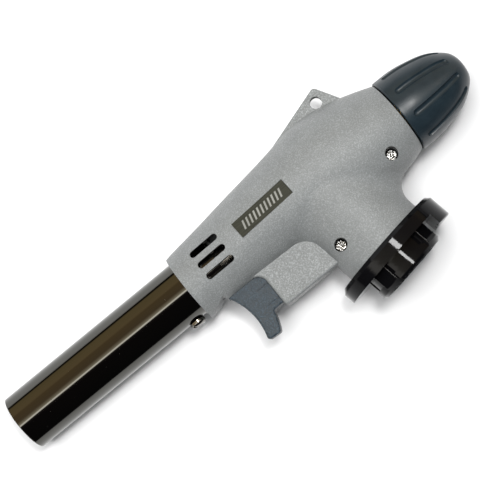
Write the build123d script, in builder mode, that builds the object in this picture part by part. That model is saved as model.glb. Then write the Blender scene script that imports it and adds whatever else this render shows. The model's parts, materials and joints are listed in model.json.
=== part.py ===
from build123d import *
import os
from math import cos, radians, sin

# Hand-held butane torch head that twists onto a bayonet canister.
# Millimetres. Design axes: +X along the barrel towards the flame, +Y towards the canister,
# +Z out of the left side. The design origin is on the barrel axis, at the front of the housing.
# The pieces are laid down on their right side at the end, as the torch rests on a bench.

os.makedirs("parts", exist_ok=True)

# ---- driving dimensions -------------------------------------------------------------------
WALL = 1.7
RIB_THICKNESS = 1.4
PARTING_GAP = 0.03
RUNNING = 0.05
SEATED = 0.03

TUBE_R = 9.5
TUBE_WALL = 0.5
TUBE_MOUTH_X = 65.2
TUBE_REAR_X = -14.0
TUBE_SCREW_X = 3.0
TUBE_SCREW_R = 1.2
TUBE_SCREW_TIP_Y = 6.1
TUBE_SCREW_HEAD_R = 2.6
TUBE_SCREW_HEAD_H = 1.75

HOUSING_REAR_X = -85.0
CAVITY_FRONT_X = -6.0
CAVITY_REAR_X = -83.0
CAVITY_FLOOR = 9.7

# Outer body sections across the barrel: place, height above and below the axis, half width.
BODY_SECTIONS = [
    (-1.5, 11.3, 11.8, 11.3),
    (-10.0, 12.4, 11.7, 12.2),
    (-20.0, 13.6, 11.7, 13.2),
    (-30.0, 14.9, 11.9, 14.2),
    (-40.0, 16.1, 12.4, 15.0),
    (-50.0, 17.6, 14.0, 15.6),
    (-60.0, 18.7, 15.2, 15.8),
    (-67.5, 17.9, 15.6, 15.6),
    (-75.0, 16.0, 15.0, 15.0),
    (-80.5, 14.2, 13.9, 13.9),
    (HOUSING_REAR_X, 12.5, 12.4, 12.5),
]

CANISTER_X = -52.5
CANISTER_LEAN = 9.5
NECK_R = 15.0
NECK_BLEND = 7.0
NECK_END = 28.4

BOX_FRONT_X = -21.8
BOX_REAR_X = -43.0
BOX_BOTTOM = 24.0
BOX_HALF = 5.6
CHANNEL_HALF = 4.45
CHANNEL_TOP = 10.3
CHANNEL_BOTTOM = 22.7
CHANNEL_FRONT_X = -8.8
CHANNEL_REAR_X = -41.0

TRIGGER_HALF = 4.15
TRIGGER_TOP = 10.6
TRIGGER_BOTTOM = 22.4
TRIGGER_TRAVEL = 3.4
TRIGGER_REAR_X = -24.6
IGNITER_Y = 15.6
CASE_HALF = 4.2
CASE_LENGTH = 15.0
CASE_REAR_X = -45.0
SPRING_SEAT_X = -18.4
SPRING_R = 3.05
SPRING_WIRE_R = 0.3
GROOVE_LENGTH = 7.6
GROOVE_WIDTH = 0.6
GROOVE_DEPTH = 0.5
PLUNGER_R = 2.4
PLUNGER_REAR_X = -35.5
PLUNGER_FRONT_X = -17.6
HOOK_X = -17.9

TAB_HALF = 1.6
TAB_HOLE = (-68.7, -19.6)
TAB_HOLE_R = 1.95

SLOT_X = -13.8
SLOT_Y = -1.7
SLOT_LENGTH = 10.4
SLOT_WIDTH = 2.2
SLOT_PITCH = 4.2

LABEL_X = -34.8
LABEL_Y = -2.9
LABEL_TURN = 2.6
LABEL_LENGTH = 20.4
LABEL_HEIGHT = 5.5
LABEL_SEAT_Z = 13.9
LABEL_THICKNESS = 0.35
LABEL_RIM_HEIGHT = 0.06

SCREW_PLACES = [(-46.3, 20.4), (-75.6, 8.8)]
SCREW_RECESS_R = 2.05
SCREW_HEAD_TOP = 7.9
SCREW_HEAD_R = 1.95
SCREW_HEAD_H = 1.5
SCREW_SHANK_R = 1.2
SCREW_TIP = -6.5
BOSS_R = 3.1

COLLAR_R = 20.0
COLLAR_FLANGE_END = 33.4
COLLAR_END = 40.2
COLLAR_SCREW_CIRCLE_R = 8.0
COLLAR_SCREW_R = 0.9
PILOT_DEPTH = 8.0
POST_R = 2.1
POST_FLOOR = 1.5
NECK_FLOOR = 3.0
NECK_HOLE_R = 5.3

HUB_CORE_R = 11.6
HUB_BAND_R = 12.6
LUG_START = 39
BLOCK_INNER = 14.7
BLOCK_CHORD = (COLLAR_R**2 - BLOCK_INNER**2) ** 0.5
BLOCK_END = 37.2

KNOB_BASE_X = -85.5
KNOB_TIP_X = -111.2
KNOB_R = 12.9
FLUTES = 9
FLUTE_START = 31
FLUTE_R = 1.3

VALVE_R = 5.5
VALVE_REAR_X = -80.0
VALVE_FRONT_X = -44.0
GLAND_REAR_X = -88.0
GLAND_LENGTH = 8.0
SPINDLE_R = 2.4
SPINDLE_REAR_X = -99.0
PORT_R = 5.0
STEM_TOP = NECK_END - 9.0
STEM_END = NECK_END + 8.5
SEAT_X = -52.0
MIXER_R = 5.0
MIXER_BORE_R = 4.4
MIXER_REAR_X = -41.0
MIXER_FRONT_X = 34.0
HOLDER_X = 29.5
JET_BASE_R = 3.0
JET_NOSE_R = 2.5
ELECTRODE_Y = 4.95
ELECTRODE_Z = -4.95
ELECTRODE_R = 0.6
INSULATOR_R = 1.4
LEAD_X = -43.6
LEAD_R = 0.8

# Resting attitude on the bench, on the collar rim, the housing's side and the tube's mouth:
# rolled about the barrel, nose down, and moved so that the origin is at the middle of the base.
REST_ROLL = 7.50
REST_PITCH = 3.15
REST_SHIFT = (22.73, -9.02, 13.06)

# ---- reference planes and axes ------------------------------------------------------------
lean = radians(CANISTER_LEAN)
canister_down = Vector(-sin(lean), cos(lean), 0)
canister_across = Vector(cos(lean), sin(lean), 0)
canister_top = Vector(CANISTER_X, 0, 0)
canister_axis = Axis(canister_top, canister_down)
canister_side = Plane(canister_top, x_dir=canister_across, z_dir=(0, 0, 1))


def across_barrel(x, y=0.0, z=0.0):
    """Plane square to the barrel at x, its own x towards the canister, facing the muzzle."""
    return Plane((x, y, z), x_dir=(0, 1, 0), z_dir=(1, 0, 0))


def across_canister(depth):
    """Plane square to the canister axis, this far below the barrel axis, facing the canister."""
    return Plane(canister_top + canister_down * depth, x_dir=canister_across, z_dir=canister_down)


def turned(outline, axis=Axis.X, plane=Plane.XY):
    """Solid of revolution from a closed outline of (along, radius) corners."""
    with BuildPart() as piece:
        with BuildSketch(plane):
            with BuildLine():
                Polyline(*outline, close=True)
            make_face()
        revolve(axis=axis)
    return piece


def canister_turned(outline):
    """Solid of revolution about the canister axis, from (radius, depth) corners."""
    return turned(outline, axis=canister_axis, plane=canister_side)


def ring(inner, outer, start, end):
    """Corners of a plain ring along the barrel."""
    return [(start, inner), (start, outer), (end, outer), (end, inner)]


# ---- housing ------------------------------------------------------------------------------
with BuildPart() as body_block:
    for station, above, below, half_width in BODY_SECTIONS:
        with BuildSketch(across_barrel(station, (below - above) / 2)):
            Ellipse((above + below) / 2, half_width)
    loft()
    with BuildSketch(across_canister(0)):
        Circle(NECK_R)
    extrude(amount=NECK_END)
    blend_edges = body_block.edges().filter_by(
        lambda e: e.bounding_box().min.Y > 1 and e.bounding_box().max.Y < 22
    )
    fillet(blend_edges, NECK_BLEND)

with BuildPart() as igniter_box:
    with BuildSketch(Plane.XY.offset(-BOX_HALF)):
        with BuildLine():
            Polyline(
                (-9.5, 9.0),
                (BOX_REAR_X, 9.0),
                (BOX_REAR_X, BOX_BOTTOM),
                (BOX_FRONT_X, BOX_BOTTOM),
                (BOX_FRONT_X, 11.0),
                (-9.5, 10.4),
                close=True,
            )
        make_face()
        box_corners = vertices().filter_by(lambda v: abs(v.X - BOX_FRONT_X) < 0.1)
        fillet(box_corners.sort_by(Axis.Y)[-1], 1.3)
        fillet(vertices().filter_by(lambda v: abs(v.X - BOX_FRONT_X) < 0.1).sort_by(Axis.Y)[0], 3.4)
    extrude(amount=2 * BOX_HALF)
    long_edges = igniter_box.edges().filter_by(
        lambda e: e.center().Y > 11.5 and e.center().X > BOX_REAR_X + 1 and abs(e.center().Z) > 5
    )
    fillet(long_edges, 0.9)

with BuildPart() as hanging_tab:
    with BuildSketch(Plane.XY.offset(-TAB_HALF)):
        with BuildLine():
            Polyline(
                (-47.5, -15.0),
                (-47.5, -16.9),
                (-70.9, -24.0),
                (-76.2, -14.5),
                close=True,
            )
        make_face()
        fillet(vertices().sort_by(Axis.Y)[0], 1.4)
        with Locations(TAB_HOLE):
            Circle(TAB_HOLE_R, mode=Mode.SUBTRACT)
    extrude(amount=2 * TAB_HALF)
    rim_edges = hanging_tab.edges().filter_by(
        lambda e: abs(abs(e.center().Z) - TAB_HALF) < 0.01 and e.center().Y < -17.5
    )
    fillet(rim_edges.filter_by(GeomType.CIRCLE, reverse=True), 0.3)

with BuildPart() as hollow:
    for station, above, below, half_width in BODY_SECTIONS[1:-1]:
        inner_above = above - WALL
        inner_below = CAVITY_FLOOR if station > -45 else below - WALL
        with BuildSketch(across_barrel(station, (inner_below - inner_above) / 2)):
            Ellipse((inner_above + inner_below) / 2, half_width - WALL)
    loft()
    with BuildSketch(across_barrel(-10.0, (CAVITY_FLOOR - 10.7) / 2)):
        Ellipse((10.7 + CAVITY_FLOOR) / 2, 10.5)
    extrude(amount=CAVITY_FRONT_X + 10.0)
    with BuildSketch(across_barrel(CAVITY_REAR_X)):
        Circle(11.6)
    with BuildSketch(across_barrel(-76.0)):
        Circle(13.2)
    loft()
    with BuildSketch(across_canister(0)):
        Circle(NECK_R - WALL)
    extrude(amount=NECK_END)

with BuildPart() as hollow_ribs:
    rib_places = [(-15.2, 8.7), (-47.5, VALVE_R + SEATED), (-71.0, VALVE_R + SEATED)]
    for station, saddle_r in rib_places:
        with BuildSketch(across_barrel(station)):
            Circle(19)
            Circle(saddle_r, mode=Mode.SUBTRACT)
        extrude(amount=RIB_THICKNESS)
    with BuildSketch(across_canister(NECK_END - 6.6)):
        Circle(NECK_R)
        Circle(PORT_R + SEATED, mode=Mode.SUBTRACT)
    extrude(amount=RIB_THICKNESS)
    with BuildSketch(across_canister(NECK_END - NECK_FLOOR)):
        Circle(NECK_R)
        Circle(NECK_HOLE_R, mode=Mode.SUBTRACT)
    extrude(amount=NECK_FLOOR)
    with BuildSketch(Plane.XY.offset(-16)):
        with Locations(*SCREW_PLACES):
            Circle(BOSS_R)
    extrude(amount=32)
    with BuildSketch(across_canister(NECK_END - PILOT_DEPTH - POST_FLOOR)):
        with PolarLocations(COLLAR_SCREW_CIRCLE_R, 4, 45):
            Circle(POST_R)
    extrude(amount=PILOT_DEPTH + POST_FLOOR)
    # The wire and the igniter case pass the ribs through their own windows.
    with BuildSketch(Plane.XY.offset(-2.5)):
        with Locations((-46.5, 9.5)):
            Rectangle(5, 6)
    extrude(amount=5, mode=Mode.SUBTRACT)

with BuildPart() as shell:
    add(body_block.part)
    add(igniter_box.part)
    add(hanging_tab.part)
    add(hollow.part - hollow_ribs.part, mode=Mode.SUBTRACT)
    # Bore that carries the flame tube, and the hole for the gland at the rear.
    with BuildSketch(across_barrel(-14.2)):
        Circle(TUBE_R + SEATED)
    extrude(amount=14.2, mode=Mode.SUBTRACT)
    with BuildSketch(across_barrel(HOUSING_REAR_X - 1)):
        Circle(6.6)
    extrude(amount=4, mode=Mode.SUBTRACT)
    # Trigger channel, igniter pocket and the sloped finger relief under the nose.
    with BuildSketch(Plane.XY.offset(-CHANNEL_HALF)):
        with BuildLine():
            Polyline(
                (CHANNEL_FRONT_X + 1, CHANNEL_TOP),
                (CHANNEL_REAR_X, CHANNEL_TOP),
                (CHANNEL_REAR_X, CHANNEL_BOTTOM),
                (CHANNEL_FRONT_X + 1, CHANNEL_BOTTOM),
                close=True,
            )
        make_face()
    extrude(amount=2 * CHANNEL_HALF, mode=Mode.SUBTRACT)
    with BuildSketch(Plane.XY.offset(-12)):
        with BuildLine():
            ThreePointArc((CHANNEL_FRONT_X, 9.2), (-5.8, 10.4), (-2.0, 12.2))
            Line((-2.0, 12.2), (-2.0, CHANNEL_BOTTOM))
            Line((-2.0, CHANNEL_BOTTOM), (CHANNEL_FRONT_X, CHANNEL_BOTTOM))
            Line((CHANNEL_FRONT_X, CHANNEL_BOTTOM), (CHANNEL_FRONT_X, 9.2))
        make_face()
    extrude(amount=24, mode=Mode.SUBTRACT)
    # The igniter case reaches back into the neck.
    with BuildSketch(Plane.XY.offset(-4.3)):
        with Locations((-43.0, 15.5)):
            Rectangle(5.0, 9.0)
    extrude(amount=8.6, mode=Mode.SUBTRACT)
    # Pilot holes for the collar screws.
    with BuildSketch(across_canister(NECK_END - PILOT_DEPTH)):
        with PolarLocations(COLLAR_SCREW_CIRCLE_R, 4, 45):
            Circle(COLLAR_SCREW_R + SEATED)
    extrude(amount=PILOT_DEPTH + 1, mode=Mode.SUBTRACT)
    # Three air slots on each side.
    with BuildSketch(Plane.XY.offset(-16)):
        with Locations(*[(SLOT_X, SLOT_Y + row * SLOT_PITCH) for row in (-1, 0, 1)]):
            SlotOverall(SLOT_LENGTH, SLOT_WIDTH)
    extrude(amount=32, mode=Mode.SUBTRACT)

with BuildPart() as left_housing:
    add(shell.part)
    split(bisect_by=Plane.XY.offset(PARTING_GAP), keep=Keep.TOP)
    # Shallow seat for the label, as deep as the curved side needs.
    with BuildSketch(Plane.XY.offset(LABEL_SEAT_Z)):
        with Locations(Location((LABEL_X, LABEL_Y), LABEL_TURN)):
            Rectangle(LABEL_LENGTH, LABEL_HEIGHT)
    extrude(amount=6, mode=Mode.SUBTRACT)
    with BuildSketch(Plane.XY.offset(SCREW_HEAD_TOP - SCREW_HEAD_H)):
        with Locations(*SCREW_PLACES):
            Circle(SCREW_RECESS_R)
    extrude(amount=12, mode=Mode.SUBTRACT)
    with BuildSketch(Plane.XY):
        with Locations(*SCREW_PLACES):
            Circle(SCREW_SHANK_R + 0.15)
    extrude(amount=12, mode=Mode.SUBTRACT)

with BuildPart() as right_housing:
    add(shell.part)
    split(bisect_by=Plane.XY.offset(-PARTING_GAP), keep=Keep.BOTTOM)
    with BuildSketch(Plane.XY.offset(SCREW_TIP - 0.5)):
        with Locations(*SCREW_PLACES):
            Circle(SCREW_SHANK_R + SEATED)
    extrude(amount=12, mode=Mode.SUBTRACT)

# ---- housing fasteners and label ----------------------------------------------------------
SCREW_HEAD_BASE = SCREW_HEAD_TOP - SCREW_HEAD_H

with BuildPart() as housing_screws:
    with BuildSketch(Plane.XY.offset(SCREW_TIP)):
        with Locations(*SCREW_PLACES):
            Circle(SCREW_SHANK_R)
    extrude(amount=SCREW_HEAD_BASE - SCREW_TIP)
    with BuildSketch(Plane.XY.offset(SCREW_HEAD_BASE)):
        with Locations(*SCREW_PLACES):
            Circle(SCREW_HEAD_R)
    extrude(amount=SCREW_HEAD_H)
    fillet(housing_screws.edges().group_by(Axis.Z)[-1], 0.6)
    with BuildSketch(Plane.XY.offset(SCREW_HEAD_TOP - 0.9)):
        with Locations(*SCREW_PLACES):
            Rectangle(0.55, 2.3, rotation=20)
            Rectangle(0.55, 2.3, rotation=110)
    extrude(amount=2, mode=Mode.SUBTRACT)

with BuildPart() as label_plate:
    with BuildSketch(Plane.XY.offset(LABEL_SEAT_Z + SEATED)):
        with Locations(Location((LABEL_X, LABEL_Y), LABEL_TURN)):
            Rectangle(LABEL_LENGTH - 0.16, LABEL_HEIGHT - 0.16)
    extrude(amount=LABEL_THICKNESS)
    # A plain raised rim frames the face.
    with BuildSketch(Plane.XY.offset(LABEL_SEAT_Z + LABEL_THICKNESS)):
        with Locations(Location((LABEL_X, LABEL_Y), LABEL_TURN)):
            Rectangle(LABEL_LENGTH - 0.6, LABEL_HEIGHT - 0.6)
            Rectangle(LABEL_LENGTH - 1.0, LABEL_HEIGHT - 1.0, mode=Mode.SUBTRACT)
    extrude(amount=LABEL_RIM_HEIGHT)

# ---- flame tube and burner ----------------------------------------------------------------
with BuildPart() as flame_tube:
    with BuildSketch(Plane.XY):
        with BuildLine():
            Polyline(*ring(TUBE_R - TUBE_WALL, TUBE_R, TUBE_REAR_X, TUBE_MOUTH_X), close=True)
        make_face()
        fillet(vertices().sort_by(Axis.X)[-2:], 0.22)
    revolve(axis=Axis.X)
    with BuildSketch(Plane.XZ.offset(-6.5)):
        with Locations((TUBE_SCREW_X, 0)):
            Circle(TUBE_SCREW_R + SEATED)
    extrude(amount=-6, mode=Mode.SUBTRACT)

with BuildPart() as burner_support:
    with BuildSketch(across_barrel(0)):
        Circle(TUBE_R - TUBE_WALL - SEATED)
        Circle(MIXER_R + SEATED, mode=Mode.SUBTRACT)
        with Locations((ELECTRODE_Y, ELECTRODE_Z)):
            Circle(INSULATOR_R + SEATED, mode=Mode.SUBTRACT)
        with PolarLocations(7.0, 4, 45 + 90):
            Circle(1.35, mode=Mode.SUBTRACT)
    extrude(amount=6)
    with BuildSketch(Plane.XZ.offset(-6.0)):
        with Locations((TUBE_SCREW_X, 0)):
            Circle(TUBE_SCREW_R + SEATED)
    extrude(amount=-6, mode=Mode.SUBTRACT)

with BuildPart() as tube_screw:
    with BuildSketch(Plane.XZ.offset(-TUBE_SCREW_TIP_Y)):
        with Locations((TUBE_SCREW_X, 0)):
            Circle(TUBE_SCREW_R)
    extrude(amount=-(TUBE_R - TUBE_SCREW_TIP_Y))
    with BuildSketch(Plane.XZ.offset(-TUBE_R - 0.05)):
        with Locations((TUBE_SCREW_X, 0)):
            Circle(TUBE_SCREW_HEAD_R)
    extrude(amount=-TUBE_SCREW_HEAD_H)
    fillet(tube_screw.edges().group_by(Axis.Y)[-1], 1.1)
    with BuildSketch(Plane.XZ.offset(-10.6)):
        with Locations((TUBE_SCREW_X, 0)):
            Rectangle(6, 0.7, rotation=40)
    extrude(amount=-2, mode=Mode.SUBTRACT)
    with BuildSketch(Plane.XZ.offset(-TUBE_R + 0.3)):
        with Locations((TUBE_SCREW_X, 0)):
            Circle(TUBE_SCREW_R)
    extrude(amount=-0.5)

with BuildPart() as mixing_tube:
    with BuildSketch(Plane.XY):
        with BuildLine():
            Polyline(
                (MIXER_REAR_X, JET_NOSE_R + SEATED),
                (MIXER_REAR_X, MIXER_R),
                (MIXER_FRONT_X, MIXER_R),
                (MIXER_FRONT_X, MIXER_BORE_R),
                (MIXER_REAR_X + 4.0, MIXER_BORE_R),
                (MIXER_REAR_X + 4.0, JET_NOSE_R + SEATED),
                close=True,
            )
        make_face()
    revolve(axis=Axis.X)
    for turn in (0, 90):
        with BuildSketch(Plane.XY.rotated((turn, 0, 0)).offset(-8)):
            with Locations((-26, 0), (-20.5, 0)):
                Circle(1.7)
        extrude(amount=16, mode=Mode.SUBTRACT)

with BuildPart() as flame_holder:
    with BuildSketch(across_barrel(HOLDER_X)):
        Circle(TUBE_R - TUBE_WALL - SEATED)
        Circle(MIXER_R + SEATED, mode=Mode.SUBTRACT)
        with PolarLocations(7.0, 12, 15):
            Circle(0.8, mode=Mode.SUBTRACT)
        with Locations((ELECTRODE_Y, ELECTRODE_Z)):
            Circle(INSULATOR_R + SEATED, mode=Mode.SUBTRACT)
    extrude(amount=1.5)

with BuildPart() as burner_screen:
    with BuildSketch(across_barrel(HOLDER_X + 1.0)):
        Circle(MIXER_BORE_R - SEATED)
        with GridLocations(1.5, 1.5, 5, 5):
            Rectangle(0.9, 0.9, mode=Mode.SUBTRACT)
    extrude(amount=0.6)

jet_holder = turned(
    [
        (-47.5, 1.0),
        (-47.5, JET_BASE_R),
        (VALVE_FRONT_X, JET_BASE_R),
        (VALVE_FRONT_X, 4.2),
        (-42.2, 4.2),
        (-42.2, JET_NOSE_R),
        (-34.0, JET_NOSE_R),
        (-34.0, 1.5),
        (-36.5, 1.5),
        (-36.5, 1.0),
    ]
)
gas_filter = turned(ring(0.0, 0.96, -46.5, -38.5))
gas_jet = turned(
    [(-36.4, 0.25), (-36.4, 1.46), (-33.4, 1.46), (-32.4, 0.8), (-32.4, 0.25)]
)

insulator = turned(ring(ELECTRODE_R + 0.04, INSULATOR_R, -2.0, 32.0))
insulator.part = insulator.part.translate((0, ELECTRODE_Y, ELECTRODE_Z))

with BuildPart() as electrode:
    with BuildLine() as electrode_line:
        FilletPolyline(
            (-4.0, ELECTRODE_Y, ELECTRODE_Z),
            (34.5, ELECTRODE_Y, ELECTRODE_Z),
            (38.0, 2.6, -2.6),
            radius=1.5,
        )
    with BuildSketch(Plane(electrode_line.line @ 0, z_dir=electrode_line.line % 0)):
        Circle(ELECTRODE_R)
    sweep(path=electrode_line.line)

with BuildPart() as ignition_lead:
    with BuildLine() as lead_line:
        FilletPolyline(
            (LEAD_X, 11.1, 0),
            (LEAD_X, 7.4, 0),
            (-27.0, 7.4, 0),
            (-14.0, ELECTRODE_Y, ELECTRODE_Z),
            (-4.0, ELECTRODE_Y, ELECTRODE_Z),
            radius=(1.6, 8, 8),
        )
    with BuildSketch(Plane(lead_line.line @ 0, z_dir=lead_line.line % 0)):
        Circle(LEAD_R)
    sweep(path=lead_line.line)

# ---- igniter and trigger ------------------------------------------------------------------
with BuildPart() as igniter_case:
    with BuildSketch(Plane.XY.offset(-CASE_HALF)):
        with Locations((CASE_REAR_X + CASE_LENGTH / 2, IGNITER_Y)):
            RectangleRounded(CASE_LENGTH, 8.0, 0.8)
    extrude(amount=2 * CASE_HALF)
    with BuildSketch(across_barrel(CASE_REAR_X + CASE_LENGTH, IGNITER_Y)):
        Circle(PLUNGER_R + RUNNING)
    bore_rear = PLUNGER_REAR_X - TRIGGER_TRAVEL - 0.6
    extrude(amount=bore_rear - CASE_REAR_X - CASE_LENGTH, mode=Mode.SUBTRACT)

with BuildPart() as igniter_terminal:
    with BuildSketch(Plane.XZ.offset(-11.2)):
        with Locations((LEAD_X, 0)):
            RectangleRounded(2.4, 4.0, 0.5)
    extrude(amount=-0.35)

with BuildPart() as igniter_plunger:
    with BuildSketch(across_barrel(PLUNGER_REAR_X, IGNITER_Y)):
        Circle(PLUNGER_R)
    extrude(amount=PLUNGER_FRONT_X - PLUNGER_REAR_X)

with BuildPart() as trigger_spring:
    with BuildLine() as spring_line:
        Helix(
            pitch=1.75,
            height=10.7,
            radius=SPRING_R,
            center=(-29.6, IGNITER_Y, 0),
            direction=(1, 0, 0),
        )
    with BuildSketch(Plane(spring_line.line @ 0, z_dir=spring_line.line % 0)):
        Circle(SPRING_WIRE_R)
    sweep(path=spring_line.line, is_frenet=True)

with BuildPart() as trigger:
    with BuildSketch(Plane.XY.offset(-TRIGGER_HALF)):
        with BuildLine():
            Line((-9.0, TRIGGER_TOP), (TRIGGER_REAR_X, TRIGGER_TOP))
            Line((TRIGGER_REAR_X, TRIGGER_TOP), (TRIGGER_REAR_X, TRIGGER_BOTTOM))
            Line((TRIGGER_REAR_X, TRIGGER_BOTTOM), (HOOK_X, TRIGGER_BOTTOM))
            ThreePointArc((HOOK_X, TRIGGER_BOTTOM), (-16.9, 25.8), (-15.4, 29.0))
            Line((-15.4, 29.0), (-10.6, 28.7))
            ThreePointArc((-10.6, 28.7), (-11.9, 19.2), (-9.0, TRIGGER_TOP))
        make_face()
        fillet(vertices().sort_by(Axis.Y)[-2:], 1.0)
        fillet(vertices().filter_by(lambda v: abs(v.X - HOOK_X) < 0.05), 0.8)
    extrude(amount=2 * TRIGGER_HALF)
    face_edges = trigger.edges().filter_by(
        lambda e: abs(abs(e.center().Z) - TRIGGER_HALF) < 0.01 and e.center().X > -18
        and e.center().Y > TRIGGER_TOP + 0.5
    )
    fillet(face_edges, 0.7)
    with BuildSketch(across_barrel(TRIGGER_REAR_X, IGNITER_Y)):
        Circle(3.5)
    extrude(amount=SPRING_SEAT_X - TRIGGER_REAR_X, mode=Mode.SUBTRACT)
    with BuildSketch(across_barrel(SPRING_SEAT_X - 0.2, IGNITER_Y)):
        Circle(PLUNGER_R)
    extrude(amount=1.0, mode=Mode.SUBTRACT)
    # Two short grooves on each flank.
    for side in (-1, 1):
        with BuildSketch(Plane.XY.offset(side * TRIGGER_HALF)):
            with Locations((-21.1, 14.8), (-21.1, 20.4)):
                Rectangle(GROOVE_LENGTH, GROOVE_WIDTH)
        extrude(amount=-GROOVE_DEPTH * side, mode=Mode.SUBTRACT)

# ---- valve and knob -----------------------------------------------------------------------
with BuildPart() as valve_body:
    with BuildSketch(across_barrel(VALVE_REAR_X)):
        Circle(VALVE_R)
    extrude(amount=VALVE_FRONT_X - VALVE_REAR_X)
    with BuildSketch(across_canister(0)):
        Circle(PORT_R)
    extrude(amount=NECK_END - 4.5)
    with BuildSketch(Plane.XY):
        with BuildLine():
            Polyline(
                (VALVE_REAR_X, 0),
                (VALVE_REAR_X, 4.0 + SEATED),
                (-77.8, 4.0 + SEATED),
                (-77.8, SPINDLE_R + RUNNING),
                (SEAT_X, SPINDLE_R + RUNNING),
                (SEAT_X, 0.9),
                (-48.0, 0.9),
                (-48.0, JET_BASE_R + SEATED),
                (VALVE_FRONT_X, JET_BASE_R + SEATED),
                (VALVE_FRONT_X, 0),
                close=True,
            )
        make_face()
    revolve(axis=Axis.X, mode=Mode.SUBTRACT)
    with BuildSketch(across_canister(1.5)):
        Circle(1.1)
    extrude(amount=NECK_END, mode=Mode.SUBTRACT)
    with BuildSketch(across_canister(STEM_TOP - 0.5)):
        Circle(3.0 + SEATED)
    extrude(amount=6, mode=Mode.SUBTRACT)

valve_spindle = turned(
    [
        (SPINDLE_REAR_X, 0.0),
        (SPINDLE_REAR_X, SPINDLE_R),
        (-59.0, SPINDLE_R),
        (-58.4, 1.3),
        (-53.1, 1.3),
        (-50.6, 0.2),
        (-50.6, 0.0),
    ]
)
spindle_seal = turned(ring(SPINDLE_R + 0.03, 4.0, -79.6, -77.85))
with BuildPart() as gland_nut:
    with BuildSketch(across_barrel(GLAND_REAR_X)):
        RegularPolygon(5.6, 6)
    extrude(amount=GLAND_LENGTH - SEATED)
    with BuildSketch(across_barrel(GLAND_REAR_X)):
        Circle(SPINDLE_R + RUNNING)
    extrude(amount=GLAND_LENGTH, mode=Mode.SUBTRACT)
    chamfer(gland_nut.edges().group_by(Axis.X)[0], 0.4)

with BuildPart() as flute:
    with BuildLine() as flute_line:
        Spline(
            (-89.4, KNOB_R + 0.5),
            (-94.5, 12.95),
            (-100.0, 11.75),
            (-104.0, 10.35),
            (-106.6, 9.0),
        )
    with BuildSketch(Plane(flute_line.line @ 0, z_dir=flute_line.line % 0)):
        Circle(FLUTE_R)
    sweep(path=flute_line.line)
    for end_point in (flute_line.line @ 0, flute_line.line @ 1):
        with Locations(end_point):
            Sphere(FLUTE_R)

with BuildPart() as control_knob:
    with BuildSketch(Plane.XY):
        with BuildLine():
            Line((KNOB_BASE_X, 0), (KNOB_BASE_X, KNOB_R - 0.3))
            Line((KNOB_BASE_X, KNOB_R - 0.3), (KNOB_BASE_X - 0.3, KNOB_R))
            Spline(
                (KNOB_BASE_X - 0.3, KNOB_R),
                (-92.5, 12.75),
                (-98.5, 11.65),
                (-104.0, 9.9),
                (-108.8, 6.6),
                (KNOB_TIP_X, 0),
                tangents=[(-1, 0), (0, -1)],
            )
            Line((KNOB_TIP_X, 0), (KNOB_BASE_X, 0))
        make_face()
    revolve(axis=Axis.X)
    with BuildSketch(across_barrel(KNOB_BASE_X)):
        Circle(KNOB_R - 2.0)
        Circle(5.0, mode=Mode.SUBTRACT)
    extrude(amount=-11, mode=Mode.SUBTRACT, taper=6)
    with BuildSketch(across_barrel(KNOB_BASE_X)):
        Circle(7.5)
    extrude(amount=-3.5, mode=Mode.SUBTRACT)
    with BuildSketch(across_barrel(KNOB_BASE_X)):
        Circle(SPINDLE_R + SEATED)
    extrude(amount=SPINDLE_REAR_X - KNOB_BASE_X - 0.05, mode=Mode.SUBTRACT)
    for index in range(FLUTES):
        add(flute.part.rotate(Axis.X, FLUTE_START + index * 360 / FLUTES), mode=Mode.SUBTRACT)

# ---- canister collar and gas inlet --------------------------------------------------------
inlet_stem = canister_turned(
    [
        (1.0, STEM_TOP),
        (3.0, STEM_TOP),
        (3.0, NECK_END - 4.5),
        (5.0, NECK_END - 4.5),
        (5.0, NECK_END - 1.5),
        (4.2, NECK_END - 1.5),
        (4.2, STEM_END - 0.8),
        (3.8, STEM_END),
        (2.1, STEM_END),
        (2.1, STEM_END - 3.5),
        (3.0, STEM_END - 3.5),
        (3.0, STEM_END - 5.2),
        (1.0, STEM_END - 5.2),
    ]
)
inlet_seal = canister_turned(
    [
        (1.3, STEM_END - 5.15),
        (2.95, STEM_END - 5.15),
        (2.95, STEM_END - 3.6),
        (1.3, STEM_END - 3.6),
    ]
)

with BuildPart() as claw_hub:
    with BuildSketch(across_canister(COLLAR_FLANGE_END - 1)):
        Circle(HUB_CORE_R)
    extrude(amount=COLLAR_END - COLLAR_FLANGE_END + 1)
    with BuildSketch(across_canister(COLLAR_END - 3.3)):
        Circle(HUB_BAND_R)
    extrude(amount=3.3)
    with BuildSketch(across_canister(COLLAR_FLANGE_END - 1)):
        with PolarLocations(12.0, 4, LUG_START):
            RectangleRounded(2.4, 5.8, 0.35)
    extrude(amount=COLLAR_END - COLLAR_FLANGE_END + 1)
    add(
        canister_turned(
            [
                (0, COLLAR_FLANGE_END - 1),
                (14, COLLAR_FLANGE_END - 1),
                (14, COLLAR_END - 2.4),
                (11.6, COLLAR_END),
                (0, COLLAR_END),
            ]
        ).part,
        mode=Mode.INTERSECT,
    )

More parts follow.
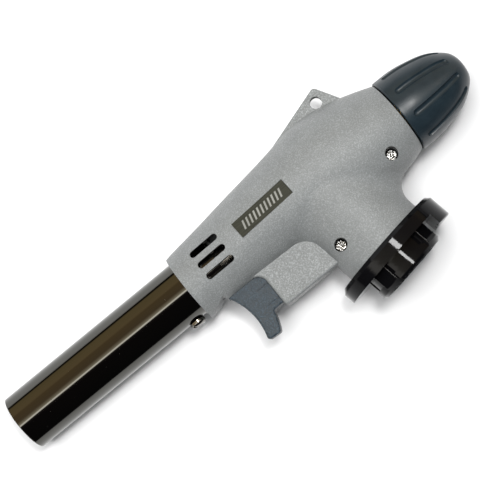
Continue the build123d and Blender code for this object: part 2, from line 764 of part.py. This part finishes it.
with BuildPart() as canister_collar:
    with BuildSketch(across_canister(NECK_END)):
        Circle(COLLAR_R)
    extrude(amount=COLLAR_FLANGE_END - NECK_END)
    with BuildSketch(across_canister(COLLAR_FLANGE_END)):
        with BuildLine():
            ThreePointArc((-BLOCK_INNER, BLOCK_CHORD), (-COLLAR_R, 0), (-BLOCK_INNER, -BLOCK_CHORD))
            Line((-BLOCK_INNER, -BLOCK_CHORD), (-BLOCK_INNER, BLOCK_CHORD))
        make_face()
    extrude(amount=BLOCK_END - COLLAR_FLANGE_END)
    add(
        canister_turned(
            [
                (0, NECK_END),
                (COLLAR_R - 1.2, NECK_END),
                (COLLAR_R, NECK_END + 1.3),
                (COLLAR_R, BLOCK_END - 0.3),
                (COLLAR_R - 0.3, BLOCK_END),
                (0, BLOCK_END),
            ]
        ).part,
        mode=Mode.INTERSECT,
    )
    with BuildSketch(across_canister(BLOCK_END - 0.8)):
        with Locations((-17.4, -4.5), (-17.4, 4.5)):
            Rectangle(6, 1.6)
    extrude(amount=2, mode=Mode.SUBTRACT)
    add(claw_hub.part)
    with BuildSketch(across_canister(COLLAR_FLANGE_END)):
        Circle(10.4)
    extrude(amount=COLLAR_END, mode=Mode.SUBTRACT)
    with BuildSketch(across_canister(NECK_END - 1)):
        Circle(NECK_HOLE_R)
        with PolarLocations(COLLAR_SCREW_CIRCLE_R, 4, 45):
            Circle(COLLAR_SCREW_R + SEATED)
    extrude(amount=8, mode=Mode.SUBTRACT)

with BuildPart() as collar_screws:
    with BuildSketch(across_canister(NECK_END - PILOT_DEPTH + 0.5)):
        with PolarLocations(COLLAR_SCREW_CIRCLE_R, 4, 45):
            Circle(COLLAR_SCREW_R)
    extrude(amount=COLLAR_FLANGE_END - NECK_END + PILOT_DEPTH - 0.5)
    with BuildSketch(across_canister(COLLAR_FLANGE_END)):
        with PolarLocations(COLLAR_SCREW_CIRCLE_R, 4, 45):
            Circle(1.7)
    extrude(amount=1.2)

# ---- lay the finished pieces down and write them ------------------------------------------
pieces = {
    "left_housing": left_housing,
    "right_housing": right_housing,
    "housing_screws": housing_screws,
    "label_plate": label_plate,
    "flame_tube": flame_tube,
    "tube_screw": tube_screw,
    "burner_support": burner_support,
    "mixing_tube": mixing_tube,
    "flame_holder": flame_holder,
    "burner_screen": burner_screen,
    "jet_holder": jet_holder,
    "gas_filter": gas_filter,
    "gas_jet": gas_jet,
    "insulator": insulator,
    "electrode": electrode,
    "ignition_lead": ignition_lead,
    "igniter_case": igniter_case,
    "igniter_terminal": igniter_terminal,
    "igniter_plunger": igniter_plunger,
    "trigger_spring": trigger_spring,
    "trigger": trigger,
    "valve_body": valve_body,
    "valve_spindle": valve_spindle,
    "spindle_seal": spindle_seal,
    "gland_nut": gland_nut,
    "control_knob": control_knob,
    "inlet_stem": inlet_stem,
    "inlet_seal": inlet_seal,
    "canister_collar": canister_collar,
    "collar_screws": collar_screws,
}
rest = Location(REST_SHIFT) * Location((0, 0, 0), (0, REST_PITCH, 0)) * Location((0, 0, 0), (REST_ROLL, 0, 0))
for label, piece in pieces.items():
    piece.part.label = label
    export_step(piece.part.moved(rest), f"parts/{label}.step")
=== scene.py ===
"""Butane torch lying on a pale studio floor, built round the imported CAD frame."""

import json
import math

import bmesh
import bpy
from mathutils import Euler, Matrix, Vector


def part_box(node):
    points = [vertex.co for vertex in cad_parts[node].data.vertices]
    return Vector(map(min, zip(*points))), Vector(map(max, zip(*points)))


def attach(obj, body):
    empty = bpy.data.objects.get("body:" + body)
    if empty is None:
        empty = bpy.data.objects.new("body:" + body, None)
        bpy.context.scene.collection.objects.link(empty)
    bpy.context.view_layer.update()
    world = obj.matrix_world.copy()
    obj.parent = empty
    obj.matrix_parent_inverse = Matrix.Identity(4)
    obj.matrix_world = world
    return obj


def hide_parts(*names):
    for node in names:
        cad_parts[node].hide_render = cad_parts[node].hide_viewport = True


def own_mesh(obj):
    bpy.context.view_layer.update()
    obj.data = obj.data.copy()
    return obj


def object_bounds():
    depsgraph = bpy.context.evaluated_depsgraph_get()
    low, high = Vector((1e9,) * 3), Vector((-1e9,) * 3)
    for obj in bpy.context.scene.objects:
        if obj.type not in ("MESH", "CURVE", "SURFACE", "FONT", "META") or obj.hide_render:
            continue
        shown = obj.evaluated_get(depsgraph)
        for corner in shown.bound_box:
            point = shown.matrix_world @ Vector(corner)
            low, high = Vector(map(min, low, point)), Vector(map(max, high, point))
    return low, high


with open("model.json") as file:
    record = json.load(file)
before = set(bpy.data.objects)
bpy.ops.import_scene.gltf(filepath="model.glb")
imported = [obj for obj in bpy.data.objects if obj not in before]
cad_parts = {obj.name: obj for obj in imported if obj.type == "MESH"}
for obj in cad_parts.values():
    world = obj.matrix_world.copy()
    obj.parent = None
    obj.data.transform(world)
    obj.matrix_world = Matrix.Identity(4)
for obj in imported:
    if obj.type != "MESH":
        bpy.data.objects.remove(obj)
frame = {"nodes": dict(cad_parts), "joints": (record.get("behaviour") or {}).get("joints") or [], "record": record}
CAD_LOW, CAD_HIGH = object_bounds()
NODES = frame["nodes"]
MM = 0.001

# Camera: almost straight above the torch, with the barrel running down to the left.
CAMERA_PLACE = Vector((11.83, -13.46, 433.58)) * MM
CAMERA_TURN = Euler([math.radians(angle) for angle in (0.337, -1.987, 140.629)])
CAMERA_LENS = 96.8

# The barrel's own axes, from the joint that slides the trigger back along it.
TRIGGER_AXIS = next(j for j in frame["joints"] if j["name"] == "trigger_slide")["axis"]
BARREL = -Vector(TRIGGER_AXIS).normalized()
CAMERA_BACK = CAMERA_TURN.to_matrix().col[2]
BARREL_UP = (CAMERA_BACK - BARREL * CAMERA_BACK.dot(BARREL)).normalized()
BARREL_SIDE = BARREL_UP.cross(BARREL)

# Square to the flat sides of the box and the tab.
MOUNTS = {mount["name"]: mount for mount in frame["record"]["mounts"]}
SIDE_OUT = Vector(MOUNTS["hanging_hole"]["axis"]).normalized()


# The flat sides lie nearer to the seam between the two halves than the round body does.
HEIGHTS = [corner.co.dot(SIDE_OUT) for name in ("left_housing", "right_housing")
           for corner in NODES[name].data.vertices]
SEAM = (min(HEIGHTS) + max(HEIGHTS)) / 2
FLAT_LEVEL = 13 * MM


# ---------------------------------------------------------------- node helpers
class Shader:
    """A Principled material with short calls for the nodes that feed it."""

    def __init__(self, name, colour, roughness, metallic=0.0, **sockets):
        self.material = bpy.data.materials.new(name)
        self.material.use_nodes = True
        self.tree = self.material.node_tree
        self.surface = self.tree.nodes["Principled BSDF"]
        self.surface.inputs["Base Color"].default_value = (*colour, 1.0)
        self.surface.inputs["Roughness"].default_value = roughness
        self.surface.inputs["Metallic"].default_value = metallic
        for socket, value in sockets.items():
            self.surface.inputs[socket.replace("_", " ")].default_value = value
        self.place = self.tree.nodes.new("ShaderNodeTexCoord").outputs["Object"]

    def add(self, kind, **settings):
        node = self.tree.nodes.new("ShaderNode" + kind)
        for key, value in settings.items():
            setattr(node, key, value)
        return node

    def wire(self, source, target):
        self.tree.links.new(source, target)

    def stretched(self, along, stretch):
        """Coordinates squeezed along one direction, so that a pattern runs out along it."""
        turn = along.normalized().to_track_quat("X", "Z").to_matrix().inverted()
        mapping = self.add("Mapping")
        mapping.inputs["Rotation"].default_value = turn.to_euler()
        squeeze = self.add("VectorMath", operation="MULTIPLY")
        squeeze.inputs[1].default_value = (1.0 / stretch, 1.0, 1.0)
        self.wire(self.place, mapping.inputs["Vector"])
        self.wire(mapping.outputs["Vector"], squeeze.inputs[0])
        return squeeze.outputs["Vector"]

    def noise(self, size, detail=2.0, place=None):
        """Noise whose lumps are about size metres across."""
        node = self.add("TexNoise")
        node.inputs["Scale"].default_value = 1.0 / size
        node.inputs["Detail"].default_value = detail
        self.wire(place or self.place, node.inputs["Vector"])
        return node.outputs["Fac"]

    def cells(self, size):
        """Distance from the middle of cells about size metres across."""
        node = self.add("TexVoronoi")
        node.inputs["Scale"].default_value = 1.0 / size
        self.wire(self.place, node.inputs["Vector"])
        return node.outputs["Distance"]

    def span(self, value, from_low, from_high, to_low=0.0, to_high=1.0):
        node = self.add("MapRange")
        for key, number in zip(
            ("From Min", "From Max", "To Min", "To Max"), (from_low, from_high, to_low, to_high)
        ):
            node.inputs[key].default_value = number
        self.wire(value, node.inputs["Value"])
        return node.outputs["Result"]

    def math(self, operation, first, second):
        node = self.add("Math", operation=operation)
        for socket, value in zip(node.inputs, (first, second)):
            if isinstance(value, (int, float)):
                socket.default_value = value
            else:
                self.wire(value, socket)
        return node.outputs["Value"]

    def dot(self, vector, direction):
        """How far a vector output reaches along a fixed direction."""
        node = self.add("VectorMath", operation="DOT_PRODUCT")
        node.inputs[1].default_value = direction
        self.wire(vector, node.inputs[0])
        return node.outputs["Value"]

    def mix(self, share, low, high):
        """A colour between low and high, each a colour or an output."""
        node = self.add("Mix", data_type="RGBA")
        sockets = [s for s in node.inputs if s.enabled]
        factor, first, second = sockets[0], sockets[1], sockets[2]
        for socket, value in ((factor, share), (first, low), (second, high)):
            if isinstance(value, (int, float)):
                socket.default_value = value
            elif isinstance(value, tuple):
                socket.default_value = (*value, 1.0)
            else:
                self.wire(value, socket)
        return next(s for s in node.outputs if s.enabled)

    def blend_value(self, share, low, high):
        """A number that runs from low to high as share goes from 0 to 1."""
        node = self.add("Mix", data_type="FLOAT")
        sockets = [s for s in node.inputs if s.enabled]
        for socket, value in zip(sockets, (share, low, high)):
            self.wire(value, socket)
        return next(s for s in node.outputs if s.enabled)

    def scale_colour(self, tone, share):
        node = self.add("VectorMath", operation="SCALE")
        self.wire(tone, node.inputs[0])
        self.wire(share, node.inputs["Scale"])
        return node.outputs["Vector"]

    def bump(self, height, depth, strength=1.0, below=None):
        node = self.add("Bump")
        node.inputs["Distance"].default_value = depth
        if isinstance(strength, (int, float)):
            node.inputs["Strength"].default_value = strength
        else:
            self.wire(strength, node.inputs["Strength"])
        self.wire(height, node.inputs["Height"])
        if below is not None:
            self.wire(below, node.inputs["Normal"])
        return node.outputs["Normal"]

    def colour(self, output):
        self.wire(output, self.surface.inputs["Base Color"])

    def rough(self, output):
        self.wire(output, self.surface.inputs["Roughness"])

    def normal(self, output):
        self.wire(output, self.surface.inputs["Normal"])


def shade(tone, lift):
    """A linear colour made lighter or darker by a share."""
    return tuple(min(1.0, channel * (1.0 + lift)) for channel in tone)


# ---------------------------------------------------------------- plastics
HOUSING_GREY = (0.190, 0.199, 0.198)
TRIGGER_SLATE = (0.020, 0.029, 0.037)
KNOB_SLATE = (0.011, 0.019, 0.025)
COLLAR_BLACK = (0.003, 0.003, 0.0035)


def housing_plastic():
    """Grey plastic with a spark grain, coarser on the flat sides of the box and tab, with painted glints and
    painted shade speckled into its colour.
    """
    s = Shader("housing_plastic", HOUSING_GREY, 0.42)
    soft = s.noise(6 * MM, detail=3.0)
    base = s.mix(s.span(soft, 0.3, 0.7), shade(HOUSING_GREY, -0.05), shade(HOUSING_GREY, 0.05))
    facing = s.dot(s.add("NewGeometry").outputs["True Normal"], SIDE_OUT)
    level = s.math("ABSOLUTE", s.math("SUBTRACT", s.dot(s.place, SIDE_OUT), SEAM), 0.0)
    low_down = s.math("LESS_THAN", level, FLAT_LEVEL)
    flat = s.math("MULTIPLY", s.span(s.math("ABSOLUTE", facing, 0.0), 0.9985, 0.9997), low_down)
    fine = s.noise(0.38 * MM, detail=2.0)
    coarse = s.noise(0.46 * MM, detail=2.0)
    grain = s.blend_value(flat, fine, coarse)
    # Painted glints and painted shade: light specks brighten the colour and dark specks darken it where the grain
    # would catch or lose the light, more strongly on the flat sides.
    painted_glint_share = s.span(grain, 0.46, 0.68)
    contrast = s.span(flat, 0.0, 1.0, 0.12, 0.19)
    dark = s.scale_colour(base, s.math("SUBTRACT", 1.0, contrast))
    light = s.scale_colour(base, s.math("ADD", 1.0, s.math("MULTIPLY", contrast, 2.6)))
    s.colour(s.mix(painted_glint_share, dark, light))
    s.rough(s.span(coarse, 0.35, 0.65, 0.34, 0.50))
    s.normal(s.bump(grain, 0.22 * MM, s.span(flat, 0.0, 1.0, 0.75, 1.0)))
    return s.material


def trigger_plastic():
    s = Shader("trigger_plastic", TRIGGER_SLATE, 0.48)
    grain = s.noise(0.50 * MM, detail=2.0)
    soft = s.noise(3.5 * MM)
    base = s.mix(s.span(soft, 0.3, 0.7), shade(TRIGGER_SLATE, -0.10), shade(TRIGGER_SLATE, 0.10))
    # Painted glints: light specks in the colour where the grain would catch the light.
    s.colour(s.mix(s.span(grain, 0.50, 0.70), base, shade(TRIGGER_SLATE, 1.6)))
    s.rough(s.span(grain, 0.3, 0.7, 0.38, 0.58))
    s.normal(s.bump(grain, 0.22 * MM, 0.9))
    return s.material


def knob_plastic():
    s = Shader("knob_plastic", KNOB_SLATE, 0.32, Specular_IOR_Level=0.38)
    grain = s.noise(0.5 * MM, detail=2.0)
    soft = s.noise(4 * MM)
    s.colour(s.mix(s.span(soft, 0.3, 0.7), shade(KNOB_SLATE, -0.08), shade(KNOB_SLATE, 0.10)))
    s.rough(s.span(soft, 0.3, 0.7, 0.28, 0.40))
    s.normal(s.bump(grain, 0.03 * MM, 0.35))
    return s.material


def collar_plastic():
    s = Shader("collar_plastic", COLLAR_BLACK, 0.08, Specular_IOR_Level=0.09)
    flow = s.noise(5 * MM, detail=4.0)
    grain = s.noise(0.6 * MM, detail=2.0)
    s.rough(s.span(flow, 0.3, 0.7, 0.03, 0.09))
    s.normal(s.bump(grain, 0.02 * MM, 0.25, below=s.bump(flow, 0.3 * MM, 0.10)))
    return s.material


def moulded(name, tone, roughness, grain_size=0.5 * MM):
    """Plain moulded plastic or rubber for the pieces inside."""
    s = Shader(name, tone, roughness)
    grain = s.noise(grain_size, detail=2.0)
    cloud = s.span(s.noise(4 * MM), 0.3, 0.7)
    s.colour(s.mix(cloud, shade(tone, -0.12), shade(tone, 0.12)))
    s.rough(s.span(grain, 0.3, 0.7, roughness - 0.06, roughness + 0.08))
    s.normal(s.bump(grain, 0.05 * MM, 0.4))
    return s.material


# ---------------------------------------------------------------- metals
NICKEL_DARK = (0.088, 0.087, 0.080)
ZINC = (0.62, 0.62, 0.61)
NICKEL_LIGHT = (0.40, 0.39, 0.36)
STEEL = (0.50, 0.50, 0.49)
BRASS = (0.72, 0.50, 0.20)
BRONZE = (0.42, 0.26, 0.13)
LACQUER = (0.026, 0.026, 0.019)
MARK_SILVER = (0.20, 0.20, 0.18)


def polished_tube():
    """Dark nickel plate: fine polishing lines along the barrel and a few dust specks."""
    s = Shader("polished_tube", NICKEL_DARK, 0.045, metallic=1.0)
    lines = s.noise(0.35 * MM, detail=3.0, place=s.stretched(BARREL, 60.0))
    specks = s.span(s.cells(2.6 * MM), 0.035, 0.06, 1.0, 0.0)
    s.colour(s.mix(s.span(lines, 0.2, 0.8), shade(NICKEL_DARK, -0.06), shade(NICKEL_DARK, 0.06)))
    s.rough(s.math("ADD", s.span(lines, 0.3, 0.7, 0.03, 0.075), s.math("MULTIPLY", specks, 0.4)))
    s.normal(s.bump(lines, 0.006 * MM, 0.25))
    return s.material


def machined(name, tone, roughness, along=BARREL):
    """Turned or drawn metal with fine lines round its axis."""
    s = Shader(name, tone, roughness, metallic=1.0)
    around = s.noise(0.25 * MM, detail=2.0)
    stain = s.span(s.noise(3 * MM, detail=3.0), 0.3, 0.7)
    reach = s.dot(s.place, along.normalized())
    rings = s.math("SINE", s.math("MULTIPLY", reach, 2 * math.pi / (0.22 * MM)), 0.0)
    s.colour(s.mix(stain, shade(tone, -0.12), shade(tone, 0.08)))
    s.rough(s.span(around, 0.3, 0.7, roughness - 0.05, roughness + 0.10))
    s.normal(s.bump(s.math("ADD", around, s.math("MULTIPLY", rings, 0.4)), 0.01 * MM, 0.3))
    return s.material


def screw_zinc():
    """Bright plating, pitted enough to glitter, with painted shade darkening the pits."""
    s = Shader("screw_zinc", ZINC, 0.22, metallic=1.0)
    pits = s.noise(0.45 * MM, detail=2.0)
    # Painted shade: the colour darkens where the pits lie deepest.
    s.colour(s.mix(s.span(pits, 0.46, 0.56), shade(ZINC, -0.92), shade(ZINC, -0.1)))
    s.rough(s.span(pits, 0.3, 0.7, 0.15, 0.35))
    s.normal(s.bump(pits, 0.25 * MM, 0.8))
    return s.material


def lacquered_plate():
    s = Shader("lacquered_plate", LACQUER, 0.50, Specular_IOR_Level=0.06)
    brushed = s.noise(0.3 * MM, detail=3.0, place=s.stretched(BARREL, 18.0))
    s.colour(s.mix(s.span(brushed, 0.25, 0.75), shade(LACQUER, -0.2), shade(LACQUER, 0.6)))
    s.rough(s.span(brushed, 0.3, 0.7, 0.28, 0.44))
    s.normal(s.bump(brushed, 0.01 * MM, 0.3))
    return s.material


def assign(material, *names):
    for name in names:
        mesh = NODES[name].data
        mesh.materials.clear()
        mesh.materials.append(material)


brass = machined("turned_brass", BRASS, 0.26)
steel = machined("drawn_steel", STEEL, 0.24)
assign(housing_plastic(), "left_housing", "right_housing")
assign(trigger_plastic(), "trigger")
assign(knob_plastic(), "control_knob")
assign(collar_plastic(), "canister_collar")
assign(polished_tube(), "flame_tube")
assign(lacquered_plate(), "label_plate")
assign(screw_zinc(), "housing_screws", "collar_screws")
assign(machined("plated_screw", shade(NICKEL_LIGHT, -0.45), 0.16), "tube_screw")
assign(steel, "burner_support", "flame_holder", "burner_screen", "electrode", "trigger_spring")
assign(steel, "igniter_plunger", "igniter_terminal", "valve_spindle")
assign(machined("nickel_tube", NICKEL_LIGHT, 0.2), "mixing_tube")
assign(brass, "jet_holder", "gas_jet", "valve_body", "gland_nut", "inlet_stem")
assign(machined("sintered_bronze", BRONZE, 0.55), "gas_filter")
assign(moulded("glazed_ceramic", (0.80, 0.77, 0.70), 0.18), "insulator")
assign(moulded("black_rubber", (0.012, 0.012, 0.012), 0.62), "spindle_seal", "inlet_seal")
assign(moulded("lead_sleeve", (0.36, 0.02, 0.015), 0.45), "ignition_lead")
assign(moulded("igniter_case", (0.02, 0.02, 0.022), 0.5), "igniter_case")


# ---------------------------------------------------------------- return spring
def make_coil():
    """A copy of the trigger's spring, carried with the torch in place of the CAD spring."""
    spring = NODES["trigger_spring"]
    coil = bpy.data.objects.new("coil_spring", spring.data.copy())
    coil.matrix_world = spring.matrix_world
    bpy.context.scene.collection.objects.link(coil)
    reach = [corner.co.dot(BARREL) for corner in coil.data.vertices]
    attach(coil, "torch")
    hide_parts("trigger_spring")
    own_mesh(coil)


make_coil()


# ---------------------------------------------------------------- marks on the label
LABEL_TURN = math.radians(2.6)
MARK_COUNT = 11
MARK_PITCH = 1.45 * MM
MARK_SIZE = (0.62 * MM, 2.7 * MM, 0.08 * MM)
MARK_SLANT = math.tan(math.radians(18))
MARK_EDGE = 0.03 * MM
RECESS = 0.06 * MM


def make_marks():
    """A row of plain slanted bars, raised a little from the plate."""
    along = Matrix.Rotation(LABEL_TURN, 3, SIDE_OUT) @ BARREL
    up = SIDE_OUT.cross(along)
    low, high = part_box("label_plate")
    centre = (low + high) / 2
    top = max(corner.co.dot(SIDE_OUT) for corner in NODES["label_plate"].data.vertices)
    centre += SIDE_OUT * (top - RECESS - centre.dot(SIDE_OUT))
    width, height, depth = MARK_SIZE
    bars = bmesh.new()
    for index in range(MARK_COUNT):
        start = (index - (MARK_COUNT - 1) / 2) * MARK_PITCH
        corners = [(start + x * width / 2 + y * height / 2 * MARK_SLANT, y * height / 2)
                   for x, y in ((-1, -1), (1, -1), (1, 1), (-1, 1))]
        rings = [[bars.verts.new(centre + along * a + up * b + SIDE_OUT * lift) for a, b in corners]
                 for lift in (-depth, depth)]
        bars.faces.new(rings[1])
        bars.faces.new(rings[0][::-1])
        for k in range(4):
            bars.faces.new((rings[0][k], rings[0][(k + 1) % 4], rings[1][(k + 1) % 4], rings[1][k]))
    bmesh.ops.recalc_face_normals(bars, faces=bars.faces)
    edges = [e for e in bars.edges if all(v.co.dot(SIDE_OUT) > centre.dot(SIDE_OUT) for v in e.verts)]
    bmesh.ops.bevel(bars, geom=edges, offset=MARK_EDGE, segments=2, affect="EDGES")
    mesh = bpy.data.meshes.new("label_marks")
    bars.to_mesh(mesh)
    bars.free()
    marks = bpy.data.objects.new("label_marks", mesh)
    bpy.context.scene.collection.objects.link(marks)
    mesh.materials.append(moulded("mark_silver", MARK_SILVER, 0.5, grain_size=0.3 * MM))
    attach(marks, "torch")


make_marks()


# ---------------------------------------------------------------- floor, light and camera
FLOOR_SIZE = 3.0
FLOOR_GAP = 0.02 * MM
FLOOR_WHITE = (0.85, 0.85, 0.85)


def make_floor():
    mesh = bpy.data.meshes.new("floor")
    grid = bmesh.new()
    bmesh.ops.create_grid(grid, x_segments=2, y_segments=2, size=FLOOR_SIZE / 2)
    grid.to_mesh(mesh)
    grid.free()
    floor = bpy.data.objects.new("floor", mesh)
    floor.location.z = CAD_LOW.z - FLOOR_GAP
    bpy.context.scene.collection.objects.link(floor)
    s = Shader("pale_floor", FLOOR_WHITE, 0.9)
    s.colour(s.mix(s.noise(0.2), FLOOR_WHITE, shade(FLOOR_WHITE, 0.02)))
    mesh.materials.append(s.material)


def soft_box(name, direction, distance, size, power):
    """An area light that looks at the torch from a direction in the barrel's axes."""
    light = bpy.data.lights.new(name, "AREA")
    light.shape = "RECTANGLE"
    light.size, light.size_y = size
    light.energy = power
    holder = bpy.data.objects.new(name, light)
    along, side, up = direction
    toward = (BARREL * along + BARREL_SIDE * side + BARREL_UP * up).normalized()
    holder.location = (CAD_LOW + CAD_HIGH) / 2 + toward * distance
    holder.rotation_euler = toward.to_track_quat("Z", "Y").to_euler()
    bpy.context.scene.collection.objects.link(holder)
    return holder


# Colours round the barrel as the tube mirrors them, by angle from straight above it towards the
# canister side, in degrees: a tan room on the tab side, a narrow bright strip overhead, and a dark
# room on the canister side.
ROOM = (
    (-180, (0.9, 0.9, 0.88)),
    (-98, (0.9, 0.9, 0.88)),
    (-96, (0.03, 0.025, 0.02)),
    (-82, (0.05, 0.04, 0.03)),
    (-79, (0.66, 0.50, 0.24)),
    (-47, (0.76, 0.55, 0.28)),
    (-42, (0.52, 0.36, 0.18)),
    (-16, (0.46, 0.33, 0.19)),
    (-9, (1.0, 0.84, 0.58)),
    (-3, (1.8, 1.6, 1.25)),
    (-1.5, (4.6, 4.4, 4.0)),
    (2.0, (4.6, 4.4, 4.0)),
    (4.0, (0.10, 0.08, 0.08)),
    (12, (0.03, 0.025, 0.025)),
    (94, (0.02, 0.02, 0.02)),
    (100, (0.7, 0.7, 0.66)),
    (180, (0.9, 0.9, 0.88)),
)
ROOM_FILL = (0.80, 0.81, 0.83)
ROOM_FILL_STRENGTH = 0.18


def make_room():
    """The world: banded for mirror reflections, an even soft white for everything else."""
    world = bpy.data.worlds.new("studio")
    bpy.context.scene.world = world
    world.use_nodes = True
    nodes, links = world.node_tree.nodes, world.node_tree.links
    background = nodes["Background"]
    place = nodes.new("ShaderNodeTexCoord").outputs["Generated"]

    def reach(direction):
        dot = nodes.new("ShaderNodeVectorMath")
        dot.operation = "DOT_PRODUCT"
        dot.inputs[1].default_value = direction
        links.new(place, dot.inputs[0])
        return dot.outputs["Value"]

    angle = nodes.new("ShaderNodeMath")
    angle.operation = "ARCTAN2"
    links.new(reach(BARREL_SIDE), angle.inputs[0])
    links.new(reach(BARREL_UP), angle.inputs[1])
    share = nodes.new("ShaderNodeMapRange")
    share.inputs["From Min"].default_value = -math.pi
    share.inputs["From Max"].default_value = math.pi
    links.new(angle.outputs["Value"], share.inputs["Value"])
    ramp = nodes.new("ShaderNodeValToRGB")
    links.new(share.outputs["Result"], ramp.inputs["Fac"])
    stops = ramp.color_ramp.elements
    while len(stops) < len(ROOM):
        stops.new(0.5)
    for stop, (degrees, tone) in zip(stops, ROOM):
        stop.position = (degrees + 180) / 360
        stop.color = (*tone, 1.0)
    is_mirror = nodes.new("ShaderNodeLightPath").outputs["Is Glossy Ray"]
    pick = nodes.new("ShaderNodeMix")
    pick.data_type = "RGBA"
    sockets = [s for s in pick.inputs if s.enabled]
    links.new(is_mirror, sockets[0])
    sockets[1].default_value = (*[c * ROOM_FILL_STRENGTH for c in ROOM_FILL], 1.0)
    links.new(ramp.outputs["Color"], sockets[2])
    links.new(next(s for s in pick.outputs if s.enabled), background.inputs["Color"])
    background.inputs["Strength"].default_value = 1.0


# Each light: direction in the barrel's axes, distance and size in metres, and power in watts.
OVERHEAD = ((0.05, -0.25, 1.0), 0.75, (0.5, 0.4), 7.2)
LAMP = ((-0.20, -0.14, 0.97), 0.6, (0.08, 0.08), 1.5)


def make_lights():
    overhead = soft_box("overhead", *OVERHEAD)
    overhead.visible_glossy = False
    soft_box("lamp", *LAMP)


def make_camera():
    data = bpy.data.cameras.new("camera")
    data.lens = CAMERA_LENS
    data.clip_start = 0.01
    camera = bpy.data.objects.new("camera", data)
    camera.location = CAMERA_PLACE
    camera.rotation_euler = CAMERA_TURN
    bpy.context.scene.collection.objects.link(camera)
    bpy.context.scene.camera = camera


make_floor()
make_room()
make_lights()
make_camera()
bpy.context.scene.view_settings.view_transform = "Standard"
